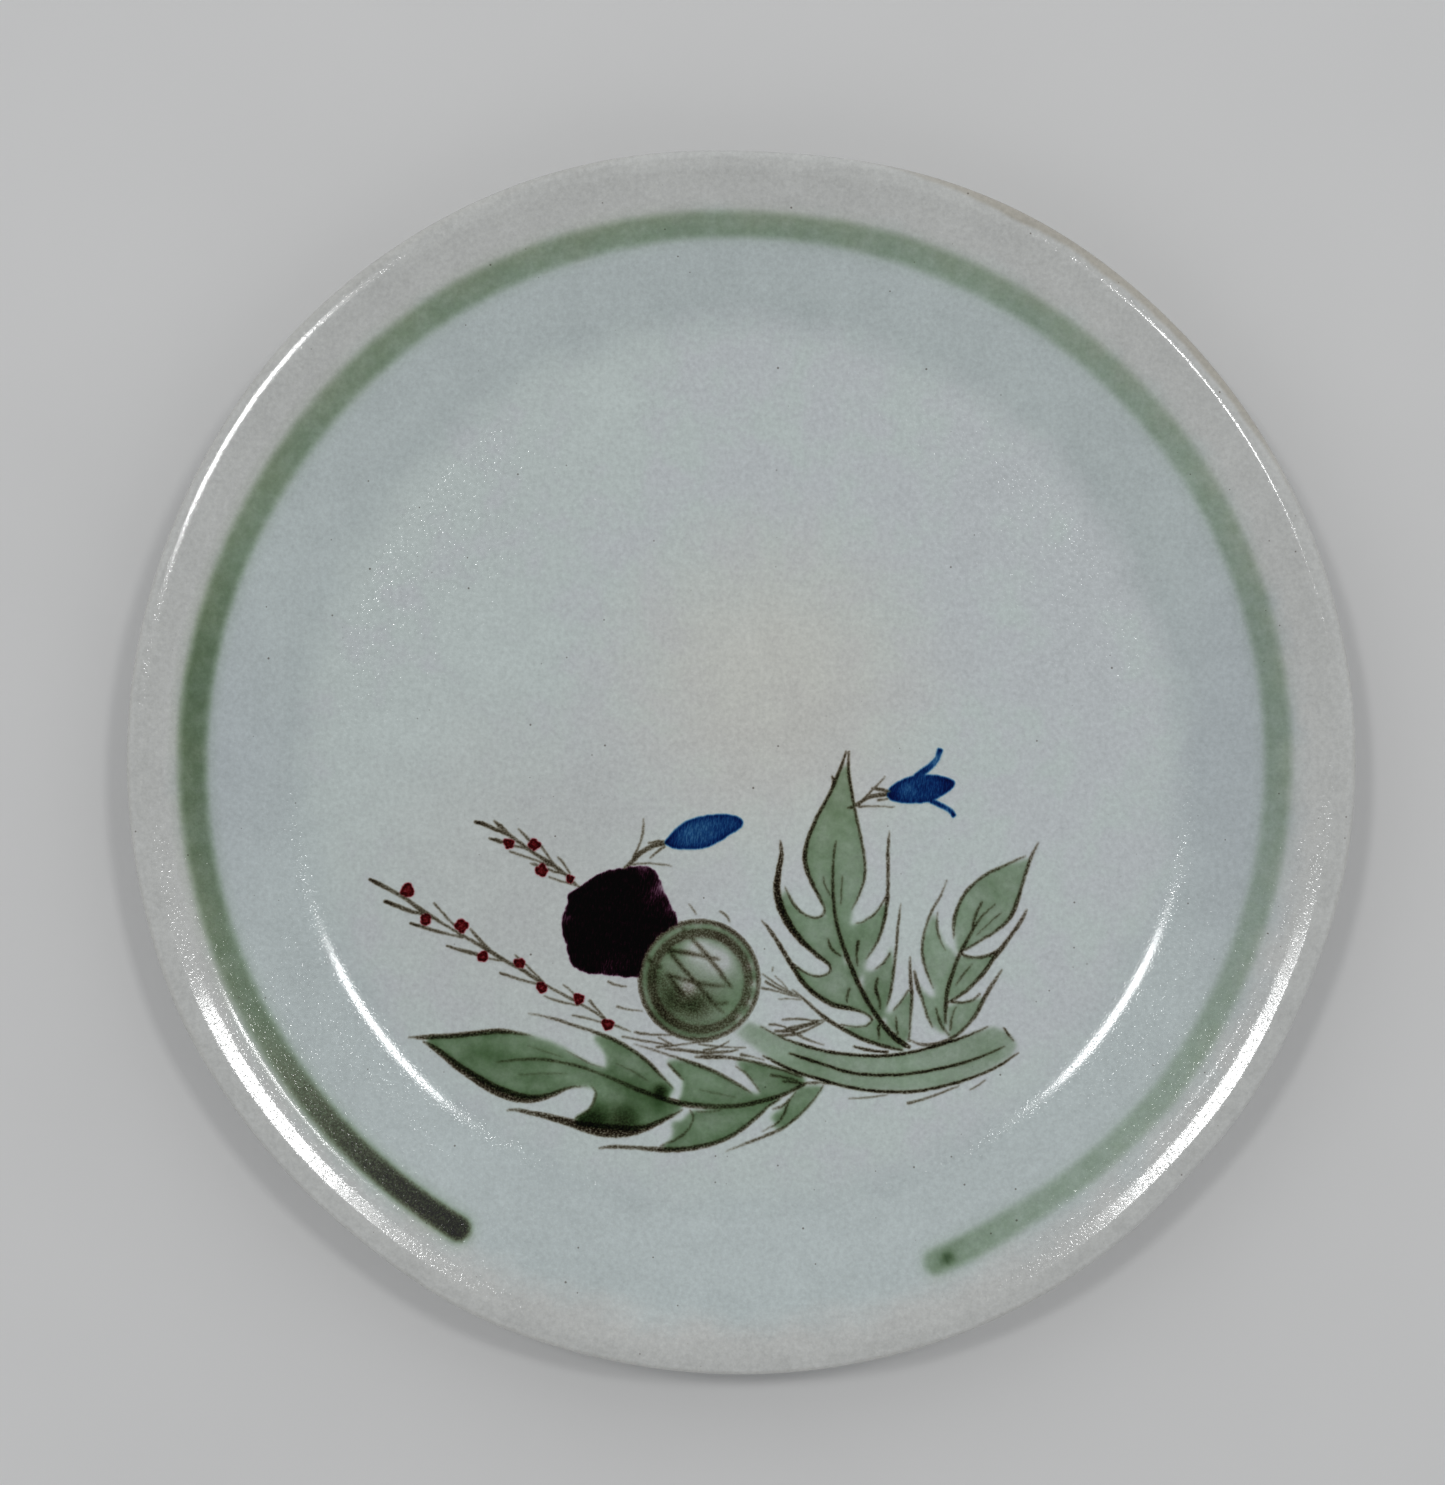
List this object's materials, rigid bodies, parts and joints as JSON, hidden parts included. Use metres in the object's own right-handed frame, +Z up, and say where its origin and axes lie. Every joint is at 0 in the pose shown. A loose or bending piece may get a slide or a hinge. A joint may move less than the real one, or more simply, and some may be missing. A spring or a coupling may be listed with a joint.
{
  "type": "dinner plate",
  "caption": "Round hand-thrown stoneware plate with a flat well, coupe wall and foot ring, satin glazed, with a brushed band and a thistle and bluebell decoration.",
  "frame": {"origin": "centre of the foot ring's resting plane", "axes": "+Z up along the plate's axis, out of the well; +Y towards the top of the painted decoration"},
  "size_m": [0.254, 0.254, 0.0226],
  "materials": {
    "clay": "bare fired stoneware clay",
    "glaze": "satin pale blue-grey glaze with fine iron specks",
    "band_green": "soft grey-green brushed colour under satin glaze",
    "leaf_green": "thin grey-green brushed colour under satin glaze",
    "iron_line": "dark iron brush line",
    "brown_stroke": "fine grey-brown brush stroke",
    "berry_red": "dark red dab",
    "purple_black": "purple-black brushed colour",
    "cobalt_blue": "cobalt blue brushed colour"
  },
  "bodies": {
    "root": {"stoneware_body": "clay", "glaze_coat": "glaze", "glaze_foot_recess": "glaze", "rim_band": "band_green", "stem_wash": "leaf_green", "leaf_low_wash": "leaf_green", "leaf_tall_wash": "leaf_green", "leaf_right_wash": "leaf_green", "thistle_bulb": "leaf_green", "stem_lines": "iron_line", "leaf_low_lines": "iron_line", "leaf_tall_lines": "iron_line", "leaf_right_lines": "iron_line", "bulb_outline": "iron_line", "bulb_hatching": "iron_line", "grass_strokes": "brown_stroke", "heather_sprig_upper": "brown_stroke", "heather_sprig_lower": "brown_stroke", "bluebell_stalks": "brown_stroke", "heather_berries": "berry_red", "thistle_flower": "purple_black", "bluebell_left": "cobalt_blue", "bluebell_right": "cobalt_blue"}
  },
  "joints": []
}
